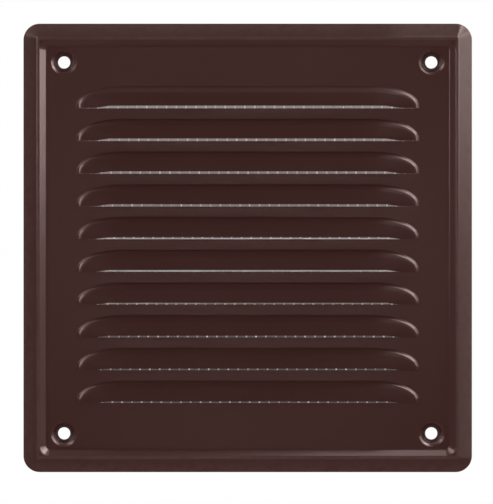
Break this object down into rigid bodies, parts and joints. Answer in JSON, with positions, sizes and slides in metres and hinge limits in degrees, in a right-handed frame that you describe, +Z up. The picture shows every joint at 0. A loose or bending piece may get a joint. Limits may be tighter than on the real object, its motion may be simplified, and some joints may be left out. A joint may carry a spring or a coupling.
{
  "type": "vent cover",
  "caption": "Square pressed-metal vent cover with lanced louvres, a raised rim, dimpled corner screw holes and a wire mesh bonded behind the louvres.",
  "frame": {"origin": "middle of the four screw holes, on the wall plane behind the cover", "axes": "+X to the right, +Z up, the front faces -Y and the wall is the plane Y = 0"},
  "size_m": [0.165, 0.0066, 0.165],
  "materials": {
    "brown_coated_sheet": "dark brown semi-gloss coating with fine orange peel",
    "mesh_wire": "bright drawn wire, slightly dulled",
    "sealant": "grey-white cured sealant, satin"
  },
  "bodies": {
    "root": {"face_plate": "brown_coated_sheet", "mesh_upright_wires": "mesh_wire", "mesh_cross_wires": "mesh_wire", "mesh_bead_top": "sealant", "mesh_bead_bottom": "sealant", "mesh_bead_left": "sealant", "mesh_bead_right": "sealant"}
  },
  "joints": []
}
